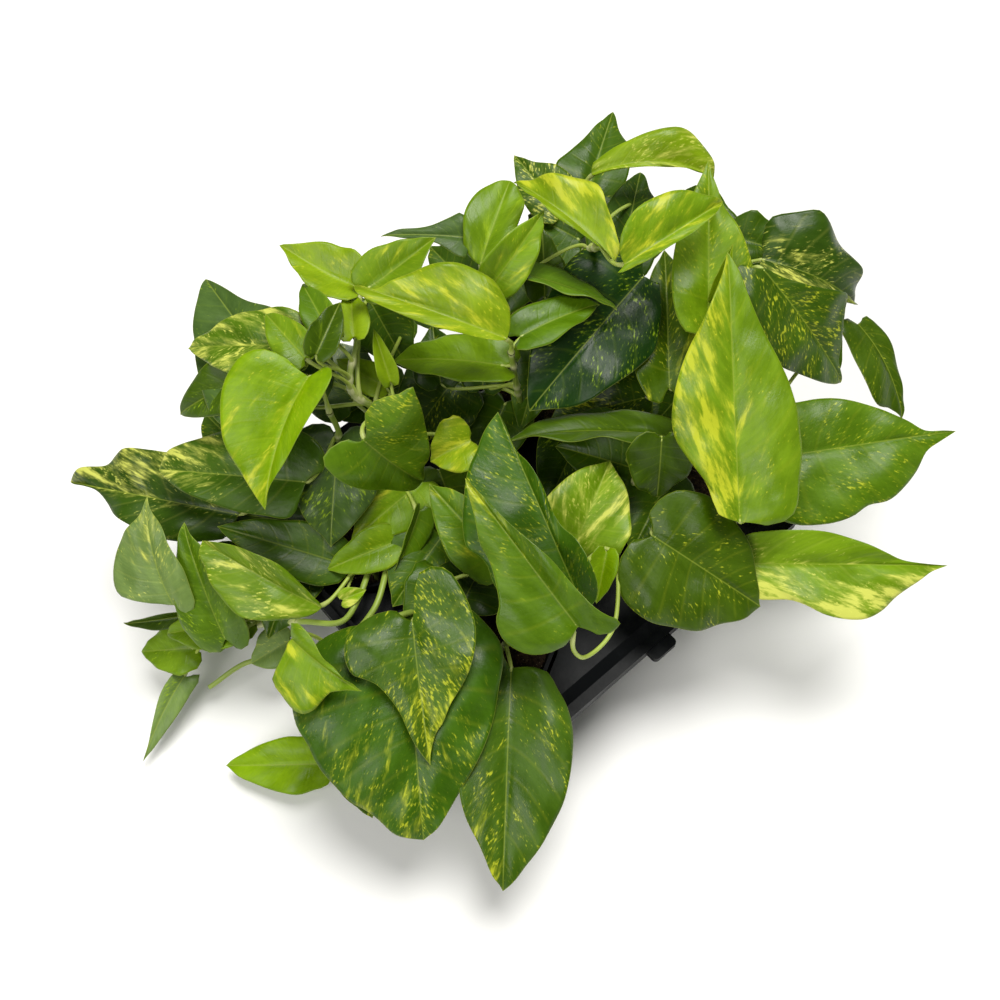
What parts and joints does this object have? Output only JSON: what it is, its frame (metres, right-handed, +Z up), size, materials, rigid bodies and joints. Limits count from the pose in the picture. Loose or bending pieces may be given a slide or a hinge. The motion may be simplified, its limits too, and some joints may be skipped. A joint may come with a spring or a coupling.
{
  "type": "potted pothos plant",
  "caption": "Trailing pothos with heart-shaped green and yellow leaves, growing in round nursery pots that stand together in a black carry tray.",
  "frame": {"origin": "middle of the carry tray's underside, on the surface it stands on", "axes": "+Z up; X along the tray's shorter side and Y along its longer side, as seen from above"},
  "size_m": [0.4522, 0.5615, 0.2633],
  "materials": {
    "tray": "black vacuum-formed sheet, satin, lightly scuffed",
    "pot": "black moulded plastic, satin rim",
    "soil": "dark brown peat potting mix with pale fibres",
    "foliage": "waxy green leaves marbled with yellow and cream, pale green stalks"
  },
  "bodies": {
    "root": {"tray": "tray", "pot_left": "pot", "pot_front": "pot", "pot_right": "pot", "pot_back": "pot", "soil_left": "soil", "soil_front": "soil", "soil_right": "soil", "soil_back": "soil", "vine_front_right": "foliage", "vine_front_left": "foliage", "vine_front_hanging": "foliage", "vine_left_trailing": "foliage", "vine_left_creeping": "foliage", "vine_left_outer": "foliage", "vine_left_high": "foliage", "vine_left_inner": "foliage", "vine_back_inner": "foliage", "vine_back_left": "foliage", "vine_back_right": "foliage", "vine_back_far": "foliage", "vine_right_front": "foliage", "vine_right_side": "foliage", "vine_right_back": "foliage", "vine_right_inner": "foliage"}
  },
  "joints": []
}
